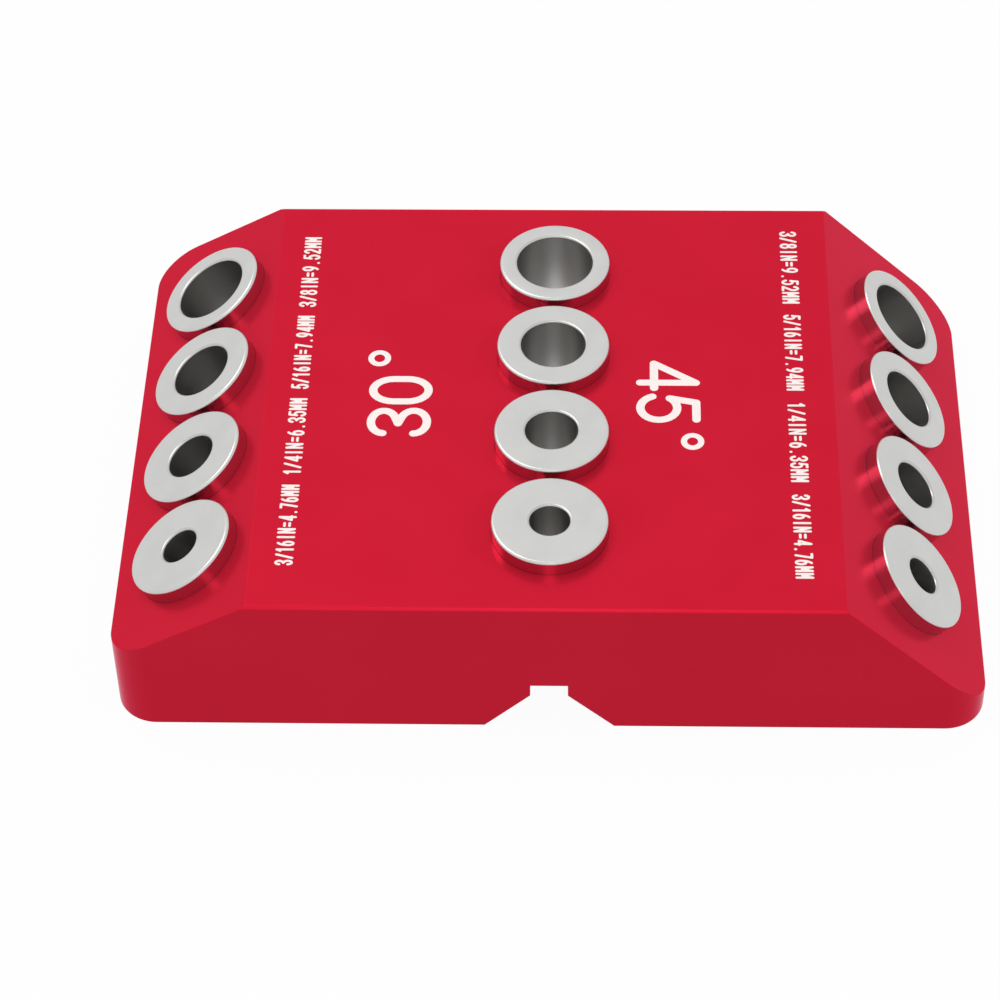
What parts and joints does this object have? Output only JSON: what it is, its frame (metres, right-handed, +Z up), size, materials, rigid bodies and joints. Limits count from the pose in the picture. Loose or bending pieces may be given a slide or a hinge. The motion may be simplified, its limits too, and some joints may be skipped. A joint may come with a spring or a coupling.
{
  "type": "angle drill guide",
  "caption": "Milled aluminium block with a shallow, an upright and a steep row of pressed-in steel drill bushings and an underside V groove.",
  "frame": {"origin": "centre of the block's underside", "axes": "+X along the block towards the steep face, +Y towards the largest drill size, +Z up out of the upright bushings"},
  "size_m": [0.105, 0.07, 0.023],
  "materials": {
    "anodised_block": "satin red anodised",
    "bushing_steel": "ground steel",
    "white_marking": "matte white"
  },
  "bodies": {
    "root": {"guide_block": "anodised_block", "shallow_bushing_6_sixteenths": "bushing_steel", "shallow_bushing_5_sixteenths": "bushing_steel", "shallow_bushing_4_sixteenths": "bushing_steel", "shallow_bushing_3_sixteenths": "bushing_steel", "upright_bushing_6_sixteenths": "bushing_steel", "upright_bushing_5_sixteenths": "bushing_steel", "upright_bushing_4_sixteenths": "bushing_steel", "upright_bushing_3_sixteenths": "bushing_steel", "steep_bushing_6_sixteenths": "bushing_steel", "steep_bushing_5_sixteenths": "bushing_steel", "steep_bushing_4_sixteenths": "bushing_steel", "steep_bushing_3_sixteenths": "bushing_steel"}
  },
  "joints": []
}
